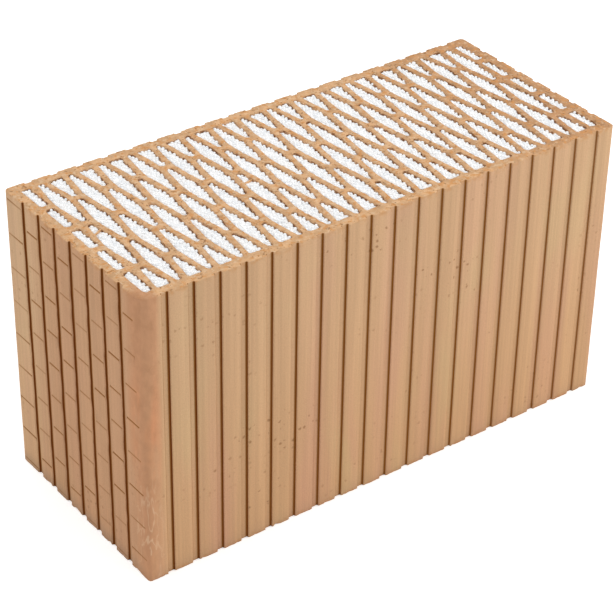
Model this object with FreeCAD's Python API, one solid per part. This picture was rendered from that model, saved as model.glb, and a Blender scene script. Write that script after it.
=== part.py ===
import FreeCAD, Part
import math
import os

# Perforated fired-clay wall block. The clay is extruded along Z and ground flat on its two bed faces.
# Its cells stand in staggered columns of long rhombic slots, and each cell is packed with foam beads.
# Frame: millimetres, +X along the long faces, +Y across, +Z up, origin in the middle of the lower bed face.

# Outer block
BLOCK_LENGTH = 440.0
BLOCK_WIDTH = 187.0
BLOCK_HEIGHT = 249.0
CORNER_RADIUS = 4.0
SOFT_CORNER_TOP_RADIUS = 12.0
SOFT_CORNER_FOOT_RADIUS = 3.0

# Upright grooves that key the mortar and plaster
GROOVE_MOUTH = 6.4
GROOVE_DEPTH = 2.0
GROOVE_TAPER = 0.6
LONG_FACE_PITCH = 22.2
END_FACE_PITCH = 21.9
CORNER_RIB = 18.0

# Walls around the perforated core
LONG_WALL = 9.5
END_WALL = 9.4

# Staggered rhombic cells, and the webs of clay between their tips and between their flanks
CELL_LENGTH = 63.6
CELL_WAIST = 12.7
CELL_TIP = 4.2
WAIST_REACH = 7.4
TIP_BEVEL = 1.1
TIP_WEB = 6.0
FLANK_WEB = 4.9
SHORTEST_CELL = 12.0

# Straight cells along the two end walls
END_CELL_WIDTH = 7.2
END_CELL_GAP = 6.1
END_CELL_BEVEL = 1.4
END_WEB = 2.8

# Bead filling
FILL_RECESS = 1.0
FILL_CLEARANCE = 0.15

# The room inside the walls, the flanks of a cell and the pitches of the lattice
ROOM_HALF_WIDTH = BLOCK_WIDTH / 2 - LONG_WALL
END_CELL_INNER = BLOCK_LENGTH / 2 - END_WALL - END_CELL_WIDTH
FLANK_SLOPE = (CELL_WAIST - CELL_TIP) / CELL_LENGTH
ROW_PITCH = CELL_LENGTH + TIP_WEB
COLUMN_PITCH = CELL_WAIST - FLANK_SLOPE * ROW_PITCH / 2 + FLANK_WEB


def point(x, y, z=0.0):
    """A 3-D point."""
    return FreeCAD.Vector(x, y, z)


def trimmed_face(corners):
    """Flat face through (x, y, reach, rounded) corners.

    A corner is taken off over its reach along both sides, by an arc where rounded and else by a bevel.
    """
    starts = []
    ends = []
    edges = []
    for i in range(len(corners)):
        x, y, reach, rounded = corners[i]
        here = point(x, y)
        to_last = point(*corners[i - 1][:2]).sub(here).normalize()
        to_next = point(*corners[(i + 1) % len(corners)][:2]).sub(here).normalize()
        starts.append(here + to_last * reach)
        ends.append(here + to_next * reach)
        if rounded:
            half_angle = to_last.getAngle(to_next) / 2
            depth = reach * (1 - math.sin(half_angle)) / math.cos(half_angle)
            middle = here + (to_last + to_next).normalize() * depth
            edges.append(Part.Arc(starts[i], middle, ends[i]).toShape())
        elif reach > 0:
            edges.append(Part.makeLine(starts[i], ends[i]))
    for i in range(len(corners)):
        edges.append(Part.makeLine(ends[i - 1], starts[i]))
    return Part.Face(Part.Wire(Part.__sortEdges__(edges)))


def block_outline():
    """Outer plan of the block, rounded at all upright corners but the soft one."""
    x = BLOCK_LENGTH / 2
    y = BLOCK_WIDTH / 2
    return trimmed_face([
        (-x, -y, 0, False),
        (x, -y, CORNER_RADIUS, True),
        (x, y, CORNER_RADIUS, True),
        (-x, y, CORNER_RADIUS, True),
    ])


def spread(count, pitch):
    """Positions of a row of things centred on zero."""
    return [(i - (count - 1) / 2) * pitch for i in range(count)]


def groove_plan():
    """Plan of one groove in a wall that faces -Y, its mouth on the X axis and open beyond it."""
    floor = GROOVE_MOUTH / 2 - GROOVE_TAPER
    beyond = GROOVE_MOUTH / 2 + GROOVE_TAPER
    return trimmed_face([
        (-beyond, -GROOVE_DEPTH, 0, False),
        (beyond, -GROOVE_DEPTH, 0, False),
        (floor, GROOVE_DEPTH, 0, False),
        (-floor, GROOVE_DEPTH, 0, False),
    ])


def wall_grooves(face, pitch, distance, turn):
    """Plans of the grooves of one wall: as many as its face holds between two corner ribs.

    The wall lies at a distance from the block's axis and is turned about it.
    """
    count = math.floor((face - 2 * CORNER_RIB) / pitch) + 1
    plans = []
    for along in spread(count, pitch):
        plan = groove_plan()
        plan.translate(point(along, -distance))
        plan.rotate(point(0, 0), point(0, 0, 1), turn)
        plans.append(plan)
    return plans


def all_grooves():
    """Plans of the grooves on all four walls."""
    plans = []
    for turn in (0, 180):
        plans += wall_grooves(BLOCK_LENGTH, LONG_FACE_PITCH, BLOCK_WIDTH / 2, turn)
        plans += wall_grooves(BLOCK_WIDTH, END_FACE_PITCH, BLOCK_LENGTH / 2, turn + 90)
    return plans


def rhombic_cell(x, y):
    """Plan of one lattice cell centred at (x, y), or None where the long walls leave too little of it."""
    low = max(y - CELL_LENGTH / 2, -ROOM_HALF_WIDTH)
    high = min(y + CELL_LENGTH / 2, ROOM_HALF_WIDTH)
    if high - low < SHORTEST_CELL:
        return None
    side = [(low, TIP_BEVEL, False)]
    if low < y < high:
        has_room = min(y - low, high - y) > WAIST_REACH + TIP_BEVEL
        side.append((y, WAIST_REACH if has_room else 0, has_room))
    side.append((high, TIP_BEVEL, False))
    right = []
    left = []
    for level, reach, rounded in side:
        half_width = CELL_WAIST / 2 - FLANK_SLOPE * abs(level - y)
        right.append((x + half_width, level, reach, rounded))
        left.insert(0, (x - half_width, level, reach, rounded))
    return trimmed_face(right + left)


def column_positions():
    """X of each column of rhombic cells: an odd number, evenly spread between the end cells."""
    reach = END_CELL_INNER - END_WEB - CELL_WAIST / 2
    pairs = round(reach / COLUMN_PITCH)
    return spread(2 * pairs + 1, reach / pairs)


def lattice_cells():
    """Plans of all rhombic cells. Neighbouring columns are half a row pitch apart in Y."""
    cells = []
    rows = math.ceil(BLOCK_WIDTH / ROW_PITCH)
    for index, x in enumerate(column_positions()):
        stagger = -0.25 if index % 2 == 0 else 0.25
        for row in range(-rows, rows + 1):
            cell = rhombic_cell(x, (row + stagger) * ROW_PITCH)
            if cell:
                cells.append(cell)
    return cells


def end_cells():
    """Plans of the straight cells along both end walls, their webs level with the waists of the lattice."""
    pitch = ROW_PITCH / 2
    half_length = (pitch - END_CELL_GAP) / 2
    side = math.floor((ROOM_HALF_WIDTH - half_length) / pitch)
    cells = []
    for inner in (END_CELL_INNER, -END_CELL_INNER - END_CELL_WIDTH):
        outer = inner + END_CELL_WIDTH
        for y in spread(2 * side + 1, pitch):
            cells.append(trimmed_face([
                (inner, y - half_length, END_CELL_BEVEL, False),
                (outer, y - half_length, END_CELL_BEVEL, False),
                (outer, y + half_length, END_CELL_BEVEL, False),
                (inner, y + half_length, END_CELL_BEVEL, False),
            ]))
    return cells


def soften_corner(block):
    """The block with its soft corner rounded, more and more towards the top."""
    foot = point(-BLOCK_LENGTH / 2, -BLOCK_WIDTH / 2)
    top = point(-BLOCK_LENGTH / 2, -BLOCK_WIDTH / 2, BLOCK_HEIGHT)
    upright = Part.makeLine(foot, top)
    edges = [e for e in block.Edges if e.CenterOfMass.distanceToPoint(upright.CenterOfMass) < 0.01]
    return block.makeFillet(SOFT_CORNER_FOOT_RADIUS, SOFT_CORNER_TOP_RADIUS, edges)


def clay_block(cells):
    """The fired body: the grooved outline less every cell, drawn out over the full height."""
    outline = block_outline().cut(Part.makeCompound(all_grooves()))
    section = outline.cut(Part.makeCompound(cells))
    return soften_corner(section.Faces[0].extrude(point(0, 0, BLOCK_HEIGHT)))


def bead_filling(cells):
    """One packed plug per cell, a little back from both bed faces."""
    plugs = []
    for cell in cells:
        plan = cell.makeOffset2D(-FILL_CLEARANCE).Faces[0]
        plan.translate(point(0, 0, FILL_RECESS))
        plugs.append(plan.extrude(point(0, 0, BLOCK_HEIGHT - 2 * FILL_RECESS)))
    return Part.makeCompound(plugs)


def main():
    """Build the two nodes and write them."""
    os.makedirs("parts", exist_ok=True)
    cells = lattice_cells() + end_cells()
    clay_block(cells).exportStep("parts/clay_block.step")
    bead_filling(cells).exportStep("parts/bead_filling.step")


main()
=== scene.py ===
"""Looks of a bead-filled, perforated clay wall block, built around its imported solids."""
import logging
import math
import random
from dataclasses import astuple, dataclass, field
from enum import Enum
from functools import cached_property, reduce
from typing import Iterable

import bmesh
import bpy
from bmesh.types import BMEdge, BMesh, BMFace, BMLayerItem, BMVert
from mathutils import Matrix, Vector, noise
from mathutils.bvhtree import BVHTree


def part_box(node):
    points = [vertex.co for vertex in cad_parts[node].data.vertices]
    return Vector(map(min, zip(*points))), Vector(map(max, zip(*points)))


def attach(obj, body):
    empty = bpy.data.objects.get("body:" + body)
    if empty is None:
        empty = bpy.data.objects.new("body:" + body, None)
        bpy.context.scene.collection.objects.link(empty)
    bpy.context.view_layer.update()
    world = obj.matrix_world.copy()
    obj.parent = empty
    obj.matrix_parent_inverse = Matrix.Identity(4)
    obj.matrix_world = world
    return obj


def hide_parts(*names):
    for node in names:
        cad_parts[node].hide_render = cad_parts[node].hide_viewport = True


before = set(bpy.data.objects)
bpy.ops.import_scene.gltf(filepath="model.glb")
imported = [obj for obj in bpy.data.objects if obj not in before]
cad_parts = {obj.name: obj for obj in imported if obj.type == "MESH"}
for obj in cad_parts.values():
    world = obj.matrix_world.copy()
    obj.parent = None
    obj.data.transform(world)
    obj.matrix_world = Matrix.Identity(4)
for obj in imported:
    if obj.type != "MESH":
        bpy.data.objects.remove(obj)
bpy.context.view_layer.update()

LOG = logging.getLogger("clay_block")
MM = 0.001
FLAT = 1e-6
MOSTLY = 0.9
UP = (0.0, 0.0, 1.0)
WHITE = (1.0, 1.0, 1.0, 1.0)
CLAY_SHARP = math.radians(40)
BEAD_SHARP = math.radians(60)
GRAIN_OCTAVES = 4.0

# Sockets of a Mix node for colours, by number
MIX_FACTOR, MIX_FIRST, MIX_SECOND, MIX_RESULT = 0, 6, 7, 2

BMElement = BMVert | BMEdge | BMFace
Socket = bpy.types.NodeSocket
Input = Socket | bpy.types.Object | str | float | tuple[float, ...]
Inputs = dict[str | int, Input]
Triple = tuple[float, float, float]
Colour = tuple[float, float, float, float]


class Bed(Enum):
    """The two ground faces of the block, by the way they look along Z."""

    LOWER = -1
    UPPER = 1


class Node(Enum):
    """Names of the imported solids."""

    CLAY = "clay_block"
    BEADS = "bead_filling"


class Mask(Enum):
    """Numbers stored on the clay's vertices for its material."""

    # Painted shade in the grooves and score marks
    RECESS = "recess"
    BED = "bed"
    # Painted shadow on the cell walls under the rims
    LIP = "lip"
    ARRIS = "arris"
    CORNER = "corner"
    POROUS = "porous"


class BeadMark(Enum):
    """Numbers stored for each bead."""

    SIZE = "size"
    TONE = "tone"


class Slot(Enum):
    """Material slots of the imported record."""

    CLAY = "fired_clay"
    BEADS = "white_beads"


@dataclass(frozen=True)
class Span:
    """A smooth step: where it starts and ends in what it reads, and what it gives there."""

    low: float
    high: float
    least: float = 0.0
    most: float = 1.0


@dataclass(frozen=True)
class Pattern:
    """Noise over a piece: waves per metre along X, Y and Z, the step made of it, its octaves and a shift."""

    waves: Triple
    span: Span = Span(0.0, 1.0)
    octaves: float = 2.0
    shift: Triple = (0.0, 0.0, 0.0)


@dataclass
class Shader:
    """A node tree with short calls for adding and joining nodes."""

    tree: bpy.types.NodeTree

    @cached_property
    def where(self) -> Socket:
        """Coordinates on the piece itself."""
        return self.add("ShaderNodeTexCoord").outputs["Object"]

    def feed(self, node: bpy.types.Node, inputs: Inputs) -> bpy.types.Node:
        """Links outputs to the inputs of a node, or sets the inputs' own values.

        Args:
            node: The node.
            inputs: An output or a constant for each input, by the input's name or number.

        Returns:
            The same node.
        """
        for name, value in inputs.items():
            if isinstance(value, Socket):
                self.tree.links.new(value, node.inputs[name])
            else:
                node.inputs[name].default_value = value
        return node

    def add(self, kind: str, inputs: Inputs | None = None, **settings: object) -> bpy.types.Node:
        """Adds a node.

        Args:
            kind: Node type, such as ShaderNodeMath.
            inputs: What goes into it.
            **settings: Its properties.

        Returns:
            The new node.
        """
        node = self.tree.nodes.new(kind)
        for name, value in settings.items():
            setattr(node, name, value)
        return self.feed(node, inputs or {})

    def math(self, operation: str, *values: Input) -> Socket:
        """The result of one Math node."""
        return self.add("ShaderNodeMath", dict(enumerate(values)), operation=operation).outputs[0]

    def product(self, *masks: Socket) -> Socket:
        """Several masks multiplied with each other."""
        return reduce(lambda first, second: self.math("MULTIPLY", first, second), masks)

    def ramp(self, value: Socket, span: Span) -> Socket:
        """A value taken through a smooth step."""
        inputs = dict(enumerate((value, *astuple(span))))
        return self.add("ShaderNodeMapRange", inputs, interpolation_type="SMOOTHSTEP").outputs[0]

    def mix(self, factor: Input, first: Input, second: Input, blend: str = "MIX") -> Socket:
        """A mix of two colours, by the share of the second one."""
        inputs = {MIX_FACTOR: factor, MIX_FIRST: first, MIX_SECOND: second}
        return self.add("ShaderNodeMix", inputs, data_type="RGBA", blend_type=blend).outputs[MIX_RESULT]

    def noise(self, pattern: Pattern) -> Socket:
        """The bare noise of a pattern, about 0.5 in the middle.

        Args:
            pattern: Its waves, octaves and shift.

        Returns:
            The noise.
        """
        place = {"Vector": self.where, "Location": pattern.shift, "Scale": pattern.waves}
        spot = self.add("ShaderNodeMapping", place).outputs[0]
        inputs = {"Vector": spot, "Scale": 1.0, "Detail": pattern.octaves}
        return self.add("ShaderNodeTexNoise", inputs).outputs[0]

    def spots(self, pattern: Pattern) -> Socket:
        """The noise of a pattern, taken through its step."""
        return self.ramp(self.noise(pattern), pattern.span)

    def warped(self, waves: float, amount: float) -> Socket:
        """Coordinates on the piece, shaken by noise.

        Args:
            waves: Waves of the noise per metre.
            amount: How far it shakes them.

        Returns:
            The shaken coordinates.
        """
        shake = self.add("ShaderNodeTexNoise", {"Vector": self.where, "Scale": waves}).outputs["Color"]
        inputs = {0: shake, 1: (amount,) * 3, 2: self.where}
        return self.add("ShaderNodeVectorMath", inputs, operation="MULTIPLY_ADD").outputs[0]

    def axis(self, name: str) -> Socket:
        """The X, Y or Z of the coordinates on the piece."""
        return self.add("ShaderNodeSeparateXYZ", {"Vector": self.where}).outputs[name]

    def attribute(self, mark: Enum) -> Socket:
        """A number stored on the piece's own vertices."""
        return self.add("ShaderNodeAttribute", attribute_name=mark.value).outputs["Fac"]

    def grain(self, group: bpy.types.NodeTree, waves: float, amount: float) -> bpy.types.Node:
        """The shared grain, with its own waves per metre and its own share in the tone."""
        inputs = {"Vector": self.where, "Scale": waves, "Amount": amount}
        return self.add("ShaderNodeGroup", inputs, node_tree=group)

    def bump(self, height: Socket, strength: float, distance: float) -> Socket:
        """The normal that a height gives."""
        inputs = {"Strength": strength, "Distance": distance, "Height": height}
        return self.add("ShaderNodeBump", inputs).outputs[0]


def grain_group() -> bpy.types.NodeTree:
    """Fine grain that both the clay and the beads have, as a group.

    Returns:
        Group with Vector, Scale and Amount in, and Tone and Height out.
    """
    tree = bpy.data.node_groups.new("fine_grain", "ShaderNodeTree")
    for name, kind in (("Vector", "NodeSocketVector"), ("Scale", "NodeSocketFloat"),
                       ("Amount", "NodeSocketFloat")):
        tree.interface.new_socket(name, in_out="INPUT", socket_type=kind)
    for name in ("Tone", "Height"):
        tree.interface.new_socket(name, in_out="OUTPUT", socket_type="NodeSocketFloat")
    shader = Shader(tree)
    given = shader.add("NodeGroupInput").outputs
    inputs = {"Vector": given["Vector"], "Scale": given["Scale"], "Detail": GRAIN_OCTAVES}
    height = shader.add("ShaderNodeTexNoise", inputs).outputs[0]
    centred = shader.math("SUBTRACT", height, 0.5)
    tone = shader.math("MULTIPLY_ADD", centred, given["Amount"], 1.0)
    shader.add("NodeGroupOutput", {"Tone": tone, "Height": height})
    return tree


@dataclass(frozen=True)
class ClayFinish:
    """Fired clay: tan, with upright drag streaks, pink patches, pores, painted shade in the hollows and
    ground bed faces.
    """

    tan: Colour = (0.566, 0.336, 0.178, 1.0)
    pale: Colour = (0.572, 0.375, 0.225, 1.0)
    pink: Colour = (0.570, 0.316, 0.188, 1.0)
    straw: Colour = (0.557, 0.362, 0.188, 1.0)
    ground: Colour = (0.655, 0.395, 0.210, 1.0)
    rust: Colour = (0.600, 0.280, 0.100, 1.0)
    # Painted shade in the grooves and score marks
    shallow_shade: Colour = (0.266, 0.105, 0.020, 1.0)
    deep_shade: Colour = (0.158, 0.041, 0.007, 1.0)
    # Painted contact shadow at the foot
    foot_shadow: Colour = (0.290, 0.200, 0.140, 1.0)
    pore: Colour = (0.280, 0.138, 0.058, 1.0)
    # Painted shadow on the cell walls under the rims
    shadow: Colour = (0.260, 0.120, 0.055, 1.0)
    arris: Colour = (0.520, 0.255, 0.100, 1.0)
    smear: Colour = (0.520, 0.262, 0.140, 1.0)
    flush: Colour = (0.610, 0.272, 0.136, 1.0)
    # Painted shade, a little pinker, for the nearer end ribs
    rose: Colour = (0.525, 0.292, 0.168, 1.0)
    burnt: Colour = (0.480, 0.245, 0.118, 1.0)
    blotch: Colour = (0.420, 0.215, 0.110, 1.0)
    scuff: Colour = (0.690, 0.465, 0.300, 1.0)
    # Pale dust, also painted light on the far end rib
    dust_and_light: Colour = (0.760, 0.580, 0.390, 1.0)

    # Sides, with heights and distances in metres
    pink_patches: Pattern = Pattern((34.0, 34.0, 3.0), Span(0.42, 0.68), 3.0)
    straw_patches: Pattern = Pattern((22.0, 22.0, 7.0), Span(0.50, 0.72), 3.0, (3.1, 7.7, 1.3))
    broad_streaks: Pattern = Pattern((70.0, 70.0, 2.5), Span(0.3, 0.7, -0.035, 0.035), 2.0, (5.0, 2.0, 8.0))
    fine_streaks: Pattern = Pattern((420.0, 420.0, 6.0), Span(0.3, 0.7, 0.955, 1.045), 2.0, (1.0, 9.0, 4.0))
    paler_upwards: Span = Span(0.02, 0.24, 0.0, 0.5)
    end_skin: Span = Span(0.2165, 0.2185)
    # Painted light on the far end rib, and painted shade, a little pinker, on the nearer end ribs
    lit_far_ribs: Span = Span(0.02, 0.08, 0.0, 0.12)
    shaded_near_ribs: Span = Span(0.07, 0.02, 0.0, 0.7)
    # Painted contact shadow at the foot, stronger on the ends
    foot: Span = Span(0.016, 0.0)
    foot_on_ends: Span = Span(0.0, 1.0, 0.15, 0.5)

    # Soft corner
    flush_patches: Pattern = Pattern((60.0, 60.0, 13.0), Span(0.40, 0.54), 2.0, (6.0, 6.0, 2.0))
    flush_start: Span = Span(0.07, 0.12)
    flush_stop: Span = Span(0.20, 0.15, 0.0, 0.9)
    blotches: Pattern = Pattern((75.0, 75.0, 50.0), Span(0.52, 0.64, 0.0, 0.4), 3.0, (1.0, 8.0, 6.0))
    corner_mottle: Pattern = Pattern((240.0, 240.0, 150.0), Span(0.3, 0.7, 0.95, 1.05), 3.0, (9.0, 2.0, 4.0))
    scuff_lines: Pattern = Pattern((170.0, 170.0, 45.0), Span(0.04, 0.0, 0.0, 0.75), 2.0, (2.0, 3.0, 9.0))
    scuff_level: float = 0.55
    scuff_zone: Span = Span(0.115, 0.05)

    # Bed faces and their rims
    burnt_side: Span = Span(0.06, 0.21, 0.0, 0.7)
    bed_mottle: Pattern = Pattern((120.0, 120.0, 120.0), Span(0.3, 0.7, 0.86, 1.10), 4.0)
    rust_spots: Pattern = Pattern((260.0, 260.0, 260.0), Span(0.52, 0.64, 0.0, 0.8), 2.0, (8.0, 2.0, 6.0))
    dust_spots: Pattern = Pattern((300.0, 300.0, 300.0), Span(0.54, 0.66, 0.0, 0.40), 2.0, (3.0, 9.0, 4.0))
    specks: Pattern = Pattern((420.0, 420.0, 420.0), Span(0.60, 0.70, 0.0, 0.75), 2.0, (2.0, 5.0, 1.0))
    # Painted shadow specks on the cell walls under the rims, then worn specks on the outer arris
    lip_shadow_specks: Pattern = Pattern((260.0, 260.0, 260.0), Span(0.46, 0.58), 3.0, (7.0, 1.0, 2.0))
    arris_crumbs: Pattern = Pattern((260.0, 260.0, 260.0), Span(0.40, 0.70, 0.0, 0.7), 3.0, (7.0, 1.0, 2.0))

    # Painted shade in the grooves and score marks, by depth
    shallow: Span = Span(0.0, 0.75)
    deep: Span = Span(0.75, 1.0)

    # Pores
    pore_waves: float = 220.0
    pore_warp_waves: float = 500.0
    pore_warp: float = 2.4 * MM
    pore_sizes: Span = Span(0.3, 1.0, 0.0, 0.42)
    pore_edge: Span = Span(0.0, -0.25)
    pore_clusters: Pattern = Pattern((11.0, 11.0, 11.0), Span(0.50, 0.62, 0.0, 0.4), 2.0, (4.0, 4.0, 4.0))
    porous_patches: Span = Span(0.0, 0.45, 0.0, 0.65)

    # Surface
    roughness: float = 0.9
    specular: float = 0.08
    grain_waves: float = 900.0
    grain_amount: float = 0.30
    grain_height: float = 0.35
    drag_lines: Pattern = Pattern((380.0, 380.0, 7.0), shift=(1.0, 9.0, 4.0))
    drag_height: float = 0.45
    bump_strength: float = 0.6
    bump_distance: float = 0.5 * MM

    def material(self, grain: bpy.types.NodeTree) -> bpy.types.Material:
        """Builds the material.

        Args:
            grain: The shared grain group.

        Returns:
            The material.
        """
        material = bpy.data.materials.new(Slot.CLAY.value)
        material.use_nodes = True
        shader = Shader(material.node_tree)
        fine = shader.grain(grain, self.grain_waves, self.grain_amount).outputs
        colour = shader.mix(shader.attribute(Mask.BED), self.body_colour(shader), self.bed_colour(shader))
        colour = shader.mix(1.0, colour, fine["Tone"], "MULTIPLY")
        pores = self.pores(shader)
        colour = shader.mix(pores, colour, self.pore)
        # Painted shadow specks on the cell walls under the rims, and worn specks on the outer arris
        for mask, crumbs_and_shadows, tint in ((Mask.LIP, self.lip_shadow_specks, self.shadow),
                                   (Mask.ARRIS, self.arris_crumbs, self.arris)):
            wear_and_shadow = shader.product(shader.attribute(mask), shader.spots(crumbs_and_shadows))
            colour = shader.mix(wear_and_shadow, colour, tint)
        colour = self.corner_colour(shader, colour)
        # Painted shade in the grooves and score marks, darkest where deepest
        recess = shader.attribute(Mask.RECESS)
        for depth, tint in ((self.shallow, self.shallow_shade), (self.deep, self.deep_shade)):
            colour = shader.mix(shader.ramp(recess, depth), colour, tint)
        shader.feed(material.node_tree.nodes["Principled BSDF"], {
            "Base Color": colour,
            "Roughness": self.roughness,
            "Specular IOR Level": self.specular,
            "Normal": shader.bump(self.relief(shader, fine["Height"], pores), self.bump_strength,
                                  self.bump_distance),
        })
        return material

    def body_colour(self, shader: Shader) -> Socket:
        """Tan clay with pink and straw patches and upright streaks, paler upwards, with painted light and
        shade on the end ribs and painted contact shadow at the foot.

        Args:
            shader: The material's nodes.

        Returns:
            The colour.
        """
        colour = shader.mix(shader.spots(self.pink_patches), self.tan, self.pink)
        colour = shader.mix(shader.spots(self.straw_patches), colour, self.straw)
        height = shader.axis("Z")
        colour = shader.mix(shader.ramp(height, self.paler_upwards), colour, self.pale)
        end = shader.ramp(shader.math("ABSOLUTE", shader.axis("X")), self.end_skin)
        # Painted light on the far end rib, and painted shade, a little pinker, on the nearer end ribs
        for ribs, tint in ((self.lit_far_ribs, self.dust_and_light), (self.shaded_near_ribs, self.rose)):
            colour = shader.mix(shader.product(end, shader.ramp(shader.axis("Y"), ribs)), colour, tint)
        # Painted contact shadow at the foot, stronger on the ends
        foot = shader.product(shader.ramp(height, self.foot), shader.ramp(end, self.foot_on_ends))
        colour = shader.mix(foot, colour, self.foot_shadow)
        tone = shader.math("ADD", shader.spots(self.broad_streaks), shader.spots(self.fine_streaks))
        return shader.mix(1.0, colour, tone, "MULTIPLY")

    def corner_colour(self, shader: Shader, colour: Socket) -> Socket:
        """Redder, smeared clay at the soft corner, with dark blotches and with pale scuffs near the foot.

        Args:
            shader: The material's nodes.
            colour: The clay away from the corner.

        Returns:
            The colour.
        """
        corner = shader.attribute(Mask.CORNER)
        height = shader.axis("Z")
        colour = shader.mix(corner, colour, self.smear)
        middle = shader.product(shader.ramp(height, self.flush_start), shader.ramp(height, self.flush_stop))
        flush = shader.product(corner, shader.spots(self.flush_patches), middle)
        colour = shader.mix(flush, colour, self.flush)
        colour = shader.mix(shader.product(corner, shader.spots(self.blotches)), colour, self.blotch)
        mottled = shader.mix(1.0, colour, shader.spots(self.corner_mottle), "MULTIPLY")
        colour = shader.mix(corner, colour, mottled)
        off_line = shader.math("SUBTRACT", shader.noise(self.scuff_lines), self.scuff_level)
        line = shader.ramp(shader.math("ABSOLUTE", off_line), self.scuff_lines.span)
        scuff = shader.product(corner, shader.ramp(height, self.scuff_zone), line)
        return shader.mix(scuff, colour, self.scuff)

    def bed_colour(self, shader: Shader) -> Socket:
        """Ground face: a cleaner cut through the clay, mottled and with darker specks.

        Args:
            shader: The material's nodes.

        Returns:
            The colour.
        """
        colour = shader.mix(shader.ramp(shader.axis("X"), self.burnt_side), self.ground, self.burnt)
        colour = shader.mix(1.0, colour, shader.spots(self.bed_mottle), "MULTIPLY")
        for spots, tint in ((self.rust_spots, self.rust), (self.dust_spots, self.dust_and_light),
                            (self.specks, self.pore)):
            colour = shader.mix(shader.spots(spots), colour, tint)
        return colour

    def pores(self, shader: Shader) -> Socket:
        """Small round holes, some way apart and in loose clusters.

        Args:
            shader: The material's nodes.

        Returns:
            Mask of the holes.
        """
        inputs = {"Vector": shader.warped(self.pore_warp_waves, self.pore_warp), "Scale": self.pore_waves}
        cells = shader.add("ShaderNodeTexVoronoi", inputs, feature="F1").outputs
        chance = shader.add("ShaderNodeSeparateColor", {"Color": cells["Color"]}).outputs[0]
        size = shader.ramp(chance, self.pore_sizes)
        hole = shader.ramp(shader.math("SUBTRACT", cells["Distance"], size), self.pore_edge)
        patch = shader.ramp(shader.attribute(Mask.POROUS), self.porous_patches)
        return shader.product(hole, shader.math("MAXIMUM", shader.spots(self.pore_clusters), patch))

    def relief(self, shader: Shader, grain: Socket, pores: Socket) -> Socket:
        """Height of the grain and of the upright drag lines, less the pores.

        Args:
            shader: The material's nodes.
            grain: Height of the grain.
            pores: Mask of the pores.

        Returns:
            The height.
        """
        drag = shader.math("MULTIPLY", shader.noise(self.drag_lines), self.drag_height)
        height = shader.math("MULTIPLY_ADD", grain, self.grain_height, drag)
        return shader.math("SUBTRACT", height, pores)


@dataclass(frozen=True)
class BeadFinish:
    """White expanded foam, a little different from bead to bead."""

    bright: Colour = (0.97, 0.97, 0.97, 1.0)
    dull: Colour = (0.86, 0.88, 0.90, 1.0)
    roughness: float = 0.65
    specular: float = 0.3
    grain_waves: float = 1600.0
    grain_amount: float = 0.10
    bump_strength: float = 0.35
    bump_distance: float = 0.3 * MM

    def material(self, grain: bpy.types.NodeTree) -> bpy.types.Material:
        """Builds the material.

        Args:
            grain: The shared grain group.

        Returns:
            The material.
        """
        material = bpy.data.materials.new(Slot.BEADS.value)
        material.use_nodes = True
        shader = Shader(material.node_tree)
        fine = shader.grain(grain, self.grain_waves, self.grain_amount).outputs
        colour = shader.mix(shader.attribute(BeadMark.TONE), self.bright, self.dull)
        shader.feed(material.node_tree.nodes["Principled BSDF"], {
            "Base Color": shader.mix(1.0, colour, fine["Tone"], "MULTIPLY"),
            "Roughness": self.roughness,
            "Specular IOR Level": self.specular,
            "Normal": shader.bump(fine["Height"], self.bump_strength, self.bump_distance),
        })
        return material


def link_object(name: str, bm: BMesh) -> bpy.types.Object:
    """Turns a bmesh into an object of the scene.

    Args:
        name: Name of the object.
        bm: The finished bmesh, which is freed.

    Returns:
        The new object.
    """
    mesh = bpy.data.meshes.new(name)
    bm.to_mesh(mesh)
    bm.free()
    made = bpy.data.objects.new(name, mesh)
    bpy.context.scene.collection.objects.link(made)
    return made


def make_piece(name: str, bm: BMesh, material: bpy.types.Material, sharp: float) -> bpy.types.Object:
    """Turns a bmesh into a smooth-shaded piece that keeps its sharp edges.

    Args:
        name: Name of the piece.
        bm: The finished bmesh, which is freed.
        material: Its only material.
        sharp: Angle over which an edge stays sharp, in radians.

    Returns:
        The new piece.
    """
    piece = link_object(name, bm)
    piece.data.shade_smooth()
    piece.data.set_sharp_from_angle(angle=sharp)
    piece.data.materials.append(material)
    return piece


def merged_copy(node: bpy.types.Object) -> BMesh:
    """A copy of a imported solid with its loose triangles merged.

    Args:
        node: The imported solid.

    Returns:
        The merged bmesh.
    """
    bm = bmesh.new()
    bm.from_mesh(node.data)
    bmesh.ops.remove_doubles(bm, verts=bm.verts[:], dist=FLAT)
    return bm


def only(kind: type, elements: Iterable[BMElement]) -> list[BMElement]:
    """Those elements that are of one kind."""
    return [element for element in elements if isinstance(element, kind)]


def cut_level(bm: BMesh, faces: Iterable[BMFace], level: float) -> dict[str, list[BMElement]]:
    """Divides faces at a level.

    Args:
        bm: Their bmesh.
        faces: The faces.
        level: Height of the cut.

    Returns:
        All that was given and made, as geom, and what lies on the cut, as geom_cut.
    """
    geometry: dict[BMElement, None] = {}
    for face in faces:
        geometry.update(dict.fromkeys((face, *face.edges, *face.verts)))
    return bmesh.ops.bisect_plane(bm, geom=list(geometry), dist=FLAT, plane_co=(0, 0, level), plane_no=UP)


def keep_beyond(bm: BMesh, level: float, way: float) -> None:
    """Keeps what lies beyond a level of closed solids, and closes the cut.

    Args:
        bm: The solids.
        level: Height of the cut.
        way: 1 to keep what lies above, and -1 for below.
    """
    bmesh.ops.bisect_plane(bm, geom=bm.verts[:] + bm.edges[:] + bm.faces[:], dist=FLAT,
                           plane_co=(0, 0, level), plane_no=(0, 0, way), clear_inner=True)
    bmesh.ops.holes_fill(bm, edges=[e for e in bm.edges if e.is_boundary], sides=0)
    bmesh.ops.recalc_face_normals(bm, faces=bm.faces[:])


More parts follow.
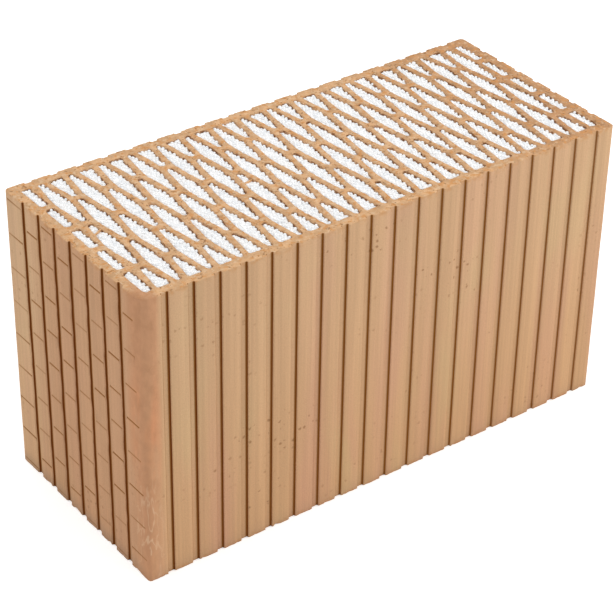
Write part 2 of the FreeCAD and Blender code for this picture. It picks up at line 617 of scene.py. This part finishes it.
@dataclass(frozen=True)
class Wave:
    """Noise that breaks clay away: its waves per millimetre, how far it reaches, its start and a shift."""

    per_mm: float
    reach: float = 1.0
    start: float = 0.0
    shift: Triple = (0.0, 0.0, 0.0)

    def at(self, point: Vector) -> float:
        """The bare noise at a point, from about -1 to 1."""
        return noise.noise(point / MM * self.per_mm + Vector(self.shift))

    def broken(self, point: Vector) -> float:
        """How far the clay is broken away at a point."""
        return self.reach * max(0.0, self.at(point) - self.start)


@dataclass(frozen=True)
class GrooveShade:
    """How dark a groove is painted, as painted shade on its walls and as painted shadow on its floor beside
    the further wall.
    """

    wall: float
    foot: float


@dataclass
class ClayBody:
    """The fired block: its solid with rounded ribs, scored ends, broken rims and uneven sides."""

    node: bpy.types.Object
    seed: int = 7

    # Zones of the skin
    groove_depth: float = 2.0 * MM
    skin_depth: float = 4.6 * MM
    corner_zone: float = 13.5 * MM
    corner_smear: float = 0.8
    wall_angle: float = math.radians(0.05)

    # Ribs and grooves
    rib_round: float = 0.7 * MM
    rib_angle: float = math.radians(40)
    wall_cuts: int = 1
    floor_cuts: int = 5
    # Painted shade of the grooves and painted shadow beside their further wall; on the long faces it gets
    # lighter to the right, as if lit from there
    end_shade: GrooveShade = GrooveShade(1.0, 0.62)
    long_shade: GrooveShade = GrooveShade(0.80, 0.38)
    shade_drift: float = 1.0

    # Slow waves of the sides, per metre, and the sway of the end grooves
    side_rows: int = 50
    side_waves: Triple = (55.0, 55.0, 28.0)
    side_depth: float = 0.28 * MM
    sway_waves: float = 110.0
    sway_step: float = 3.7
    sway_reach: float = 0.8 * MM
    rib_flat: float = 0.95

    # Rims of the bed faces
    rim_step: float = 1.7 * MM
    rim_band: float = 1.6 * MM
    cell_rim: float = 0.30 * MM
    outer_rim: float = 0.45 * MM
    chips: Wave = Wave(0.45, 1.2 * MM, -0.05)
    dents: Wave = Wave(0.13, 0.9 * MM, 0.28, (11.0, 5.0, 3.0))
    foot_dents: Wave = Wave(0.13, 3.0 * MM, 0.15, (11.0, 5.0, 3.0))
    short_edge: float = 0.6 * MM
    short_reach: float = 0.55 * MM
    groove_reach: float = 0.35 * MM
    dent_drop: float = 0.5
    outer_drop: float = 2.5 * MM
    cell_drop: float = 1.3 * MM

    # Score marks of the ends, with levels and steps in rows of the sides
    end_pitch: float = 21.9 * MM
    ribs_below_middle: int = 3
    score_top: float = 48.8
    score_step: int = 6
    score_zone: float = 9.0 * MM
    score_half_width: float = 1.4 * MM
    score_depth: float = 0.6 * MM
    # Painted shade in the score marks
    score_shade: float = 0.95
    score_strengths: tuple[float, float] = (0.45, 1.0)
    flush: float = 0.999

    # Porous patches of the front: x, z and reach, in millimetres
    pore_spots: tuple[Triple, ...] = (
        (-121.0, 95.0, 30.0), (-120.0, 40.0, 26.0), (-160.0, 70.0, 16.0), (-85.0, 85.0, 26.0),
        (-53.0, 228.0, 20.0), (-10.0, 228.0, 22.0), (34.0, 183.0, 16.0), (58.0, 172.0, 22.0),
        (76.0, 160.0, 26.0))

    half: Vector = field(init=False)
    height: float = field(init=False)
    rng: random.Random = field(init=False)
    bm: BMesh = field(init=False)

    def __post_init__(self) -> None:
        """Reads the block's half sizes and height from its solid, and copies it."""
        low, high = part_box(self.node.name)
        self.half = (high - low) / 2
        self.height = high.z
        self.rng = random.Random(self.seed)
        self.bm = merged_copy(self.node)

    def build(self, material: bpy.types.Material) -> bpy.types.Object:
        """Builds the piece.

        Args:
            material: The clay.

        Returns:
            The piece, riding on the block.
        """
        for mask in Mask:
            self.bm.verts.layers.float.new(mask.value)
        self.open_beds()
        self.round_ribs()
        self.shade_grooves()
        self.slice_sides()
        self.mark_pores()
        self.score_ends()
        for bed in Bed:
            self.split_rims(bed)
        self.roughen_sides()
        for bed in Bed:
            self.break_rims(bed)
        bmesh.ops.recalc_face_normals(self.bm, faces=self.bm.faces[:])
        LOG.info("open edges of the clay: %d", sum(not e.is_manifold for e in self.bm.edges))
        piece = make_piece("clay_body", self.bm, material, CLAY_SHARP)
        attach(piece, "root")
        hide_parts(self.node.name)
        return piece

    def layer(self, mask: Mask) -> BMLayerItem:
        """The numbers of one mask."""
        return self.bm.verts.layers.float[mask.value]

    def level(self, bed: Bed) -> float:
        """Height of a bed face."""
        return self.height if bed is Bed.UPPER else 0.0

    def depth(self, point: Vector) -> float:
        """How far a point lies inside the nearest side face."""
        return min(self.half.x - abs(point.x), self.half.y - abs(point.y))

    def on_outside(self, point: Vector) -> bool:
        """Whether a point lies on the block's outer skin, grooves included."""
        return self.depth(point) < self.skin_depth

    def on_end(self, point: Vector) -> bool:
        """Whether a point of the outer skin lies on one of the two ends."""
        return self.half.x - abs(point.x) < self.half.y - abs(point.y)

    def in_corner(self, point: Vector) -> bool:
        """Whether a point lies near one of the four upright corners."""
        return max(self.half.x - abs(point.x), self.half.y - abs(point.y)) < self.corner_zone

    def is_deep(self, vert: BMVert) -> bool:
        """Whether a vertex lies on the floor of a groove."""
        return abs(self.depth(vert.co) - self.groove_depth) < FLAT and not self.in_corner(vert.co)

    @staticmethod
    def is_upright(edge: BMEdge) -> bool:
        """Whether an edge runs along Z."""
        first, second = (v.co for v in edge.verts)
        return (first - second).xy.length < FLAT

    def open_beds(self) -> None:
        """Takes the bed faces off, to be filled inside their broken rims, and makes each wall one face."""
        beds = [f for f in self.bm.faces if abs(f.normal.z) > MOSTLY]
        bmesh.ops.delete(self.bm, geom=beds, context="FACES")
        bmesh.ops.dissolve_limit(self.bm, angle_limit=self.wall_angle, verts=self.bm.verts[:],
                                 edges=self.bm.edges[:])

    def round_ribs(self) -> None:
        """Rounds the upright edges of the ribs, where they turn into the grooves."""
        edges = [e for e in self.bm.edges if self.is_upright(e) and len(e.link_faces) == 2
                 and e.calc_face_angle_signed() > self.rib_angle]
        bmesh.ops.bevel(self.bm, geom=edges, offset=self.rib_round, offset_type="OFFSET", segments=2,
                        profile=0.5, affect="EDGES", material=-1, clamp_overlap=True)

    def shade_grooves(self) -> None:
        """Marks the soft corner, and paints shade into the grooves: darkest on their walls, with painted
        shadow on the floor beside the further one.
        """
        recess = self.layer(Mask.RECESS)
        corner = self.layer(Mask.CORNER)
        for vert in self.bm.verts:
            if self.in_corner(vert.co):
                vert[corner] = self.corner_smear if vert.co.x < 0 and vert.co.y < 0 else 0.0
            elif self.is_deep(vert):
                vert[recess] = self.groove_shade(vert.co).wall
        # Painted shade on the walls, and painted shadow on the floor only beside the further wall
        for deep_ends, cuts in ((1, self.wall_cuts), (2, self.floor_cuts)):
            edges = [e for e in self.bm.edges
                     if not self.is_upright(e) and sum(map(self.is_deep, e.verts)) == deep_ends]
            split = bmesh.ops.subdivide_edges(self.bm, edges=edges, cuts=cuts, use_grid_fill=True)
            inner = set(only(BMVert, split["geom_inner"]))
            for vert in inner:
                walls = [e.other_vert(vert).co for e in vert.link_edges if e.other_vert(vert) not in inner]
                beside = any(self.turned(vert.co) * sum((wall - vert.co).xy) > FLAT for wall in walls)
                shade = self.groove_shade(vert.co)
                vert[recess] = shade.wall if deep_ends == 1 else shade.foot * beside

    def turned(self, point: Vector) -> float:
        """1 on the front and the left end, and -1 on the other two, which are those turned half round."""
        return -math.copysign(1.0, point.x if self.on_end(point) else point.y)

    def groove_shade(self, point: Vector) -> GrooveShade:
        """How dark the painted shade of the groove at a point is: on a long face the lighter, the further to
        the right, as if lit from there.

        Args:
            point: A point in the groove.

        Returns:
            Its shade.
        """
        if self.on_end(point):
            return self.end_shade
        drift = self.shade_drift * self.turned(point) * point.x
        return GrooveShade(self.long_shade.wall - drift, self.long_shade.foot - drift)

    def slice_sides(self) -> None:
        """Divides the outer skin into rows, so that it can be uneven."""
        faces = [f for f in self.bm.faces if self.on_outside(f.calc_center_median())]
        for row in range(1, self.side_rows):
            level = row * self.height / self.side_rows
            cut = cut_level(self.bm, faces, level)
            faces = [f for f in only(BMFace, cut["geom"]) if f.calc_center_median().z > level]

    def mark_pores(self) -> None:
        """Marks the porous patches of the front."""
        porous = self.layer(Mask.POROUS)
        for vert in self.bm.verts:
            if vert.co.y < self.skin_depth - self.half.y:
                for x, z, reach in self.pore_spots:
                    away = math.hypot(vert.co.x / MM - x, vert.co.z / MM - z)
                    vert[porous] = max(vert[porous], 1.0 - away / reach)

    def score_ends(self) -> None:
        """Cuts the short level score marks across the ribs of both ends, half a step apart on neighbours."""
        row = self.height / self.side_rows
        for odd in (True, False):
            level = self.score_top - (not odd) * self.score_step / 2
            while level > 0:
                self.score(odd, level * row)
                level -= self.score_step

    def rib(self, point: Vector) -> int:
        """Number of the end rib at a point, counted along Y."""
        return math.ceil(point.y / self.end_pitch) + self.ribs_below_middle

    def is_scored(self, face: BMFace, odd: bool, level: float) -> bool:
        """Whether a face of the ends lies where a score mark goes.

        Args:
            face: The face.
            odd: Whether the odd or the even ribs are marked.
            level: Height of the mark.

        Returns:
            True on the flat of a marked rib, close to the mark.
        """
        middle = face.calc_center_median()
        flush = abs(face.normal.x) > self.flush and self.half.x - abs(middle.x) < FLAT
        return flush and abs(middle.z - level) < self.score_zone and self.rib(middle) % 2 == odd

    def score(self, odd: bool, level: float) -> None:
        """Cuts the score marks of one level, and paints shade into them.

        Args:
            odd: Whether the odd or the even ribs are marked.
            level: Height of the marks.
        """
        for offset in (-self.score_half_width, self.score_half_width, 0.0):
            faces = [f for f in self.bm.faces if self.is_scored(f, odd, level)]
            cut = cut_level(self.bm, faces, level + offset)
        marks = {v: (v.co.x > 0, self.rib(v.co)) for v in only(BMVert, cut["geom_cut"])}
        strengths = {mark: self.rng.uniform(*self.score_strengths) for mark in sorted(set(marks.values()))}
        recess = self.layer(Mask.RECESS)
        # Each mark is cut deeper and given more painted shade by its strength
        for vert, mark in marks.items():
            vert.co.x -= math.copysign(self.score_depth * strengths[mark], vert.co.x)
            vert[recess] = self.score_shade * strengths[mark]

    def rim(self, bed: Bed) -> list[BMEdge]:
        """Open edges around a bed face."""
        level = self.level(bed)
        return [e for e in self.bm.edges
                if e.is_boundary and all(abs(v.co.z - level) < FLAT for v in e.verts)]

    def split_rims(self, bed: Bed) -> None:
        """Divides the rims of a bed face into short steps, over a narrow band of the cell walls.

        Args:
            bed: Which bed face.
        """
        band = self.level(bed) - bed.value * self.rim_band
        walls = [f for e in self.rim(bed) for f in e.link_faces if not self.on_outside(e.verts[0].co)]
        cut_level(self.bm, walls, band)
        # The foot of the band gets painted shadow
        lip = self.layer(Mask.LIP)
        feet = [e for e in self.bm.edges if all(abs(v.co.z - band) < FLAT for v in e.verts)
                and not self.on_outside(e.verts[0].co)]
        for vert in {v for e in feet for v in e.verts}:
            vert[lip] = 1.0
        by_cuts: dict[int, list[BMEdge]] = {}
        for edge in self.rim(bed) + feet:
            by_cuts.setdefault(round(edge.calc_length() / self.rim_step) - 1, []).append(edge)
        for cuts, edges in by_cuts.items():
            if cuts > 0:
                bmesh.ops.subdivide_edges(self.bm, edges=edges, cuts=cuts, use_grid_fill=True)

    def break_rims(self, bed: Bed) -> None:
        """Draws a broken arris in from the rims of a bed face and fills the face inside it.

        Args:
            bed: Which bed face.
        """
        self.bm.normal_update()
        rim = self.rim(bed)
        chipped = {v: self.chip(v, bed) for v in {v for e in rim for v in e.verts}}
        drawn = bmesh.ops.extrude_edge_only(self.bm, edges=rim)["geom"]
        for vert in only(BMVert, drawn):
            foot = next(e.other_vert(vert) for e in vert.link_edges if e.other_vert(vert) in chipped)
            vert.co += chipped[foot][0]
            vert[self.layer(Mask.RECESS)] = 0.0
            vert[self.layer(Mask.BED)] = 1.0
        # A cell rim's foot gets painted shadow, an outer rim's foot the arris colour
        for foot, (_, drop) in chipped.items():
            edge = Mask.ARRIS if self.on_outside(foot.co) else Mask.LIP
            foot[self.layer(edge)] = 1.0
            foot.co.z -= bed.value * drop
        bmesh.ops.triangle_fill(self.bm, edges=self.rim(bed), use_beauty=True, normal=(0, 0, bed.value))

    def chip(self, vert: BMVert, bed: Bed) -> tuple[Vector, float]:
        """How far a rim is broken away at one of its vertices.

        Args:
            vert: Vertex on the rim.
            bed: Which bed face.

        Returns:
            Its move into the clay along the bed face, and its drop along the wall.
        """
        outside = self.on_outside(vert.co)
        reach = self.outer_rim if outside else self.cell_rim
        reach += self.chips.broken(vert.co) + self.dents.broken(vert.co)
        if outside and bed is Bed.LOWER:
            reach += self.foot_dents.broken(vert.co)
        if outside and min(e.calc_length() for e in vert.link_edges) < self.short_edge:
            reach = min(reach, self.short_reach)
        if outside and not self.in_corner(vert.co) and self.depth(vert.co) > self.groove_depth / 2:
            reach = min(reach, self.groove_reach)
        inward = Vector((-vert.normal.x, -vert.normal.y, 0.0)).normalized()
        drop = reach * (1.0 + self.dent_drop * self.dents.at(vert.co))
        return inward * reach, min(drop, self.outer_drop if outside else self.cell_drop)

    def roughen_sides(self) -> None:
        """Gives the outer skin the slow waves of pressed clay, inwards, and lets the end grooves sway."""
        self.bm.normal_update()
        moves = {v: self.unevenness(v) for v in self.bm.verts if self.on_outside(v.co)}
        for vert, move in moves.items():
            vert.co += move

    def unevenness(self, vert: BMVert) -> Vector:
        """How far the skin lies off its true place at a vertex.

        Args:
            vert: Vertex on the outer skin.

        Returns:
            Its move.
        """
        wave = 0.5 + 0.5 * noise.noise(vert.co * Vector(self.side_waves))
        move = Vector((-vert.normal.x, -vert.normal.y, 0.0)) * (self.side_depth * wave)
        if self.on_end(vert.co) and abs(vert.normal.x) < self.rib_flat and not self.in_corner(vert.co):
            groove = round(vert.co.y / self.end_pitch)
            spot = Vector((vert.co.x, groove * self.sway_step, vert.co.z * self.sway_waves))
            move.y += self.sway_reach * noise.noise(spot)
        return move


@dataclass(frozen=True)
class Sliver:
    """A torn sliver of clay that bridges one cell just under the upper bed face."""

    x: float
    y: float
    turn: float
    length: float = 9.5 * MM
    width: float = 1.2 * MM
    depth: float = 3.0 * MM
    top_gap: float = 0.12 * MM
    bead_gap: float = 0.8 * MM
    rough: float = 0.45 * MM
    cuts: int = 4
    along: Wave = Wave(0.6)
    across: Wave = Wave(0.6, shift=(9.0, 4.0, 2.0))
    down: Wave = Wave(0.6, shift=(3.0, 8.0, 6.0))

    def placed(self) -> Matrix:
        """Its place in plan."""
        return Matrix.Translation((self.x, self.y, 0.0)) @ Matrix.Rotation(self.turn, 4, "Z")

    def covers(self, point: Vector) -> bool:
        """Whether a bead at a point would hide it."""
        local = self.placed().inverted() @ point
        return abs(local.x) < self.length / 2 and abs(local.y) < self.width / 2 + self.bead_gap

    def add_to(self, bm: BMesh, height: float) -> None:
        """Adds the sliver to a bmesh.

        Args:
            bm: The bmesh.
            height: What its top lies just under.
        """
        middle = Matrix.Translation((0.0, 0.0, height - self.top_gap - self.depth / 2))
        size = Matrix.Diagonal((self.length, self.width, self.depth, 1.0))
        verts = bmesh.ops.create_cube(bm, size=1.0, matrix=self.placed() @ middle @ size)["verts"]
        edges = dict.fromkeys(e for v in verts for e in v.link_edges)
        split = bmesh.ops.subdivide_edges(bm, edges=list(edges), cuts=self.cuts, use_grid_fill=True)
        for vert in {v for f in only(BMFace, split["geom"]) for v in f.verts}:
            torn = Vector((self.along.at(vert.co), self.across.at(vert.co), -abs(self.down.at(vert.co))))
            vert.co += torn * self.rough


@dataclass
class Slivers:
    """The slivers of clay that were torn across two cells."""

    height: float
    torn: tuple[Sliver, ...] = (Sliver(-194.25 * MM, 2.5 * MM, math.radians(25)),
                                Sliver(-64.75 * MM, 0.0 * MM, math.radians(15)))

    def build(self, material: bpy.types.Material) -> bpy.types.Object:
        """Builds the piece.

        Args:
            material: The clay.

        Returns:
            The piece, riding on the block.
        """
        bm = bmesh.new()
        bed = bm.verts.layers.float.new(Mask.BED.value)
        for sliver in self.torn:
            sliver.add_to(bm, self.height)
        for vert in bm.verts:
            vert[bed] = 1.0
        piece = make_piece("clay_slivers", bm, material, CLAY_SHARP)
        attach(piece, "root")
        return piece


@dataclass
class BeadPacking:
    """The foam beads of all cells: a plug below and a layer of separate beads at each bed face."""

    node: bpy.types.Object
    slivers: tuple[Sliver, ...]
    seed: int = 21

    # Beads
    spacing: float = 3.0 * MM
    jitter: float = 0.22
    radius: float = 1.62 * MM
    spread: float = 0.22
    sides: int = 6
    rings: int = 4
    room: float = 0.12
    recess: float = 1.0 * MM
    sink: float = 1.0 * MM
    top_gap: float = 0.08 * MM

    # Plugs
    base_drop: float = 0.55 * MM
    edge_drop: float = 0.8 * MM
    edge_width: float = 0.9 * MM

    def build(self, material: bpy.types.Material) -> list[bpy.types.Object]:
        """Builds both pieces.

        Args:
            material: The foam.

        Returns:
            The upper and the lower beads, riding on the block.
        """
        bead = self.bead()
        pieces = []
        for bed in (Bed.UPPER, Bed.LOWER):
            beads = self.instanced(self.points(bed), bead, bed)
            bm = bmesh.new()
            bm.from_mesh(beads)
            bpy.data.meshes.remove(beads)
            self.add_plugs(bm, bed)
            piece = make_piece(f"packed_beads_{bed.name.lower()}", bm, material, BEAD_SHARP)
            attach(piece, "root")
            pieces.append(piece)
        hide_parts(self.node.name)
        bpy.data.objects.remove(bead)
        return pieces

    def bead(self) -> bpy.types.Object:
        """One bead of unit radius, without its hidden lower half.

        Returns:
            The bead.
        """
        bm = bmesh.new()
        bmesh.ops.create_uvsphere(bm, u_segments=self.sides, v_segments=self.rings, radius=1.0)
        keep_beyond(bm, -FLAT, 1)
        return link_object("bead", bm)

    def points(self, bed: Bed) -> bpy.types.Object:
        """Places of the beads of one bed face, as loose vertices with a size and a tone.

        Args:
            bed: Which bed face.

        Returns:
            An object of loose vertices.
        """
        rng = random.Random(self.seed + bed.value)
        low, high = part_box(self.node.name)
        face = high.z if bed is Bed.UPPER else low.z
        tree = BVHTree.FromObject(self.node, bpy.context.evaluated_depsgraph_get())
        bm = bmesh.new()
        size = bm.verts.layers.float.new(BeadMark.SIZE.value)
        tone = bm.verts.layers.float.new(BeadMark.TONE.value)
        row_step = self.spacing * math.sqrt(3) / 2
        for row in range(int((high.y - low.y) / row_step) + 1):
            for column in range(int((high.x - low.x) / self.spacing) + 1):
                x = low.x + (column + row % 2 / 2 + rng.uniform(-self.jitter, self.jitter)) * self.spacing
                y = low.y + (row + rng.uniform(-self.jitter, self.jitter)) * row_step
                radius = self.radius * (1 + rng.uniform(-self.spread, self.spread))
                hidden = bed is Bed.UPPER and any(s.covers(Vector((x, y, 0.0))) for s in self.slivers)
                if not hidden and self.fits(tree, Vector((x, y, face)), self.room * radius, bed):
                    sunk = self.top_gap - self.recess + radius + rng.random() ** 3 * self.sink
                    vert = bm.verts.new((x, y, face - bed.value * sunk))
                    vert[size] = radius
                    vert[tone] = rng.random() ** 2
        return link_object("bead_places", bm)

    @staticmethod
    def fits(tree: BVHTree, place: Vector, reach: float, bed: Bed) -> bool:
        """Whether a bead at a place stays inside its cell.

        Args:
            tree: The plugs.
            place: Middle of the bead, on the plug's face.
            reach: How far the cell has to go on around it.
            bed: Which bed face.

        Returns:
            True where the cell is wide enough.
        """
        into = Vector((0.0, 0.0, -bed.value))
        for turn in range(6):
            angle = turn * math.pi / 3
            start = place + Vector((math.cos(angle), math.sin(angle), 0.0)) * reach - into * MM
            if tree.ray_cast(start, into, 2 * MM)[0] is None:
                return False
        return True

    @staticmethod
    def instanced(points: bpy.types.Object, bead: bpy.types.Object, bed: Bed) -> bpy.types.Mesh:
        """Puts a bead on every point and joins them into one mesh.

        Args:
            points: Loose vertices, removed afterwards.
            bead: The bead.
            bed: Which way the beads look.

        Returns:
            The joined mesh.
        """
        tree = bpy.data.node_groups.new("bead_array", "GeometryNodeTree")
        tree.is_modifier = True
        for way in ("INPUT", "OUTPUT"):
            tree.interface.new_socket("Geometry", in_out=way, socket_type="NodeSocketGeometry")
        nodes = Shader(tree)
        size = {"Name": BeadMark.SIZE.value}
        array = nodes.add("GeometryNodeInstanceOnPoints", {
            "Points": nodes.add("NodeGroupInput").outputs[0],
            "Instance": nodes.add("GeometryNodeObjectInfo", {"Object": bead}).outputs["Geometry"],
            "Scale": nodes.add("GeometryNodeInputNamedAttribute", size, data_type="FLOAT").outputs[0],
            "Rotation": (0.0 if bed is Bed.UPPER else math.pi, 0.0, 0.0),
        })
        joined = nodes.add("GeometryNodeRealizeInstances", {0: array.outputs[0]})
        nodes.add("NodeGroupOutput", {0: joined.outputs[0]})
        points.modifiers.new("beads", "NODES").node_group = tree
        evaluated = points.evaluated_get(bpy.context.evaluated_depsgraph_get())
        mesh = bpy.data.meshes.new_from_object(evaluated)
        bpy.data.objects.remove(points)
        return mesh

    def add_plugs(self, bm: BMesh, bed: Bed) -> None:
        """Adds the half of the plugs that lies under the beads of one bed face.

        Args:
            bm: The beads.
            bed: Which bed face.
        """
        low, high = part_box(self.node.name)
        middle = (low.z + high.z) / 2
        plugs = merged_copy(self.node)
        keep_beyond(plugs, middle, bed.value)
        tops = [f for f in plugs.faces if f.normal.z * bed.value > MOSTLY]
        for vert in {v for f in tops for v in f.verts}:
            vert.co.z -= bed.value * self.base_drop
        bmesh.ops.inset_region(plugs, faces=tops, thickness=self.edge_width, use_even_offset=True)
        raised = {v for f in tops for v in f.verts}
        for vert in plugs.verts:
            if vert not in raised and (vert.co.z - middle) * bed.value > FLAT:
                vert.co.z -= bed.value * self.edge_drop
        plugs.verts.layers.float.new(BeadMark.TONE.value)
        mesh = bpy.data.meshes.new("plugs")
        plugs.to_mesh(mesh)
        plugs.free()
        bm.from_mesh(mesh)
        bpy.data.meshes.remove(mesh)


@dataclass
class Studio:
    """Plain soft light, a pale floor and the photograph's camera."""

    azimuth: float = math.radians(-36.92)
    elevation: float = math.radians(33.45)
    roll: float = math.radians(1.01)
    distance: float = 1669.6 * MM
    aim: Triple = (-17.2 * MM, -13.3 * MM, 124.5 * MM)
    lens_mm: float = 124.46
    sky: float = 0.85
    lamp_size: float = 1.0
    key_place: Triple = (1.25, -1.0, 0.85)
    key_power: float = 11.5
    fill_place: Triple = (-1.15, 0.95, 1.5)
    fill_power: float = 6.3
    floor_size: float = 40.0
    floor_colour: Colour = (0.85, 0.85, 0.85, 1.0)
    floor_glow: float = 0.45

    def build(self) -> None:
        """Sets up camera, lamps, world and floor."""
        bpy.context.scene.view_settings.view_transform = "Standard"
        self.camera()
        self.lamp("key", Vector(self.key_place), self.key_power)
        self.lamp("fill", Vector(self.fill_place), self.fill_power)
        self.world()
        self.floor()

    def camera(self) -> None:
        """Places the camera by its angles around the aim point."""
        back = Vector((math.sin(self.azimuth) * math.cos(self.elevation),
                       -math.cos(self.azimuth) * math.cos(self.elevation), math.sin(self.elevation)))
        right = (-back).cross(Vector(UP)).normalized()
        turn = Matrix((right, back.cross(right), back)).transposed().to_4x4()
        data = bpy.data.cameras.new("camera")
        data.lens = self.lens_mm
        camera = bpy.data.objects.new("camera", data)
        camera.matrix_world = (Matrix.Translation(Vector(self.aim) + back * self.distance) @ turn
                               @ Matrix.Rotation(self.roll, 4, "Z"))
        bpy.context.scene.collection.objects.link(camera)
        bpy.context.scene.camera = camera

    def lamp(self, name: str, place: Vector, power: float) -> None:
        """A large soft lamp that looks at the block.

        Args:
            name: Name of the lamp.
            place: Where it stands.
            power: Its power in watts.
        """
        data = bpy.data.lights.new(name, "AREA")
        data.energy = power
        data.size = self.lamp_size
        lamp = bpy.data.objects.new(name, data)
        lamp.location = place
        lamp.rotation_euler = (Vector(self.aim) - place).to_track_quat("-Z", "Y").to_euler()
        bpy.context.scene.collection.objects.link(lamp)

    def world(self) -> None:
        """Even light from all round, and plain white where the camera sees it."""
        world = bpy.data.worlds.new("studio")
        world.use_nodes = True
        bpy.context.scene.world = world
        shader = Shader(world.node_tree)
        strength = shader.ramp(self.seen(shader), Span(0.0, 1.0, self.sky, 1.0))
        shader.feed(world.node_tree.nodes["Background"], {"Color": WHITE, "Strength": strength})

    @staticmethod
    def seen(shader: Shader) -> Socket:
        """The rays that show the background: from the camera, in gloss and through glass.

        Args:
            shader: Nodes of a material or the world.

        Returns:
            Mask of the rays.
        """
        path = shader.add("ShaderNodeLightPath").outputs
        either = shader.math("MAXIMUM", path["Is Camera Ray"], path["Is Glossy Ray"])
        return shader.math("MAXIMUM", either, path["Is Transmission Ray"])

    def floor(self) -> None:
        """A wide pale floor that keeps a light shadow."""
        bm = bmesh.new()
        bmesh.ops.create_grid(bm, x_segments=1, y_segments=1, size=self.floor_size / 2)
        material = bpy.data.materials.new("floor")
        material.use_nodes = True
        shader = Shader(material.node_tree)
        shader.feed(material.node_tree.nodes["Principled BSDF"], {
            "Base Color": self.floor_colour,
            "Roughness": 1.0,
            "Specular IOR Level": 0.0,
            "Emission Color": WHITE,
            "Emission Strength": shader.ramp(self.seen(shader), Span(0.0, 1.0, 0.0, self.floor_glow)),
        })
        floor = make_piece("floor", bm, material, math.pi)


def report(pieces: Iterable[bpy.types.Object]) -> None:
    """Logs each piece with its number of triangles.

    Args:
        pieces: The pieces.
    """
    for piece in pieces:
        piece.data.calc_loop_triangles()
        LOG.info("%s: %d triangles", piece.name, len(piece.data.loop_triangles))


def main() -> None:
    """Builds the block, its beads and the studio."""
    logging.basicConfig(level=logging.INFO, format="%(name)s %(message)s")
    grain = grain_group()
    clay = ClayFinish().material(grain)
    foam = BeadFinish().material(grain)
    body = ClayBody(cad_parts[Node.CLAY.value])
    slivers = Slivers(body.height)
    report([body.build(clay), slivers.build(clay)])
    report(BeadPacking(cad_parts[Node.BEADS.value], slivers.torn).build(foam))
    Studio().build()


if __name__ == "__main__":
    main()
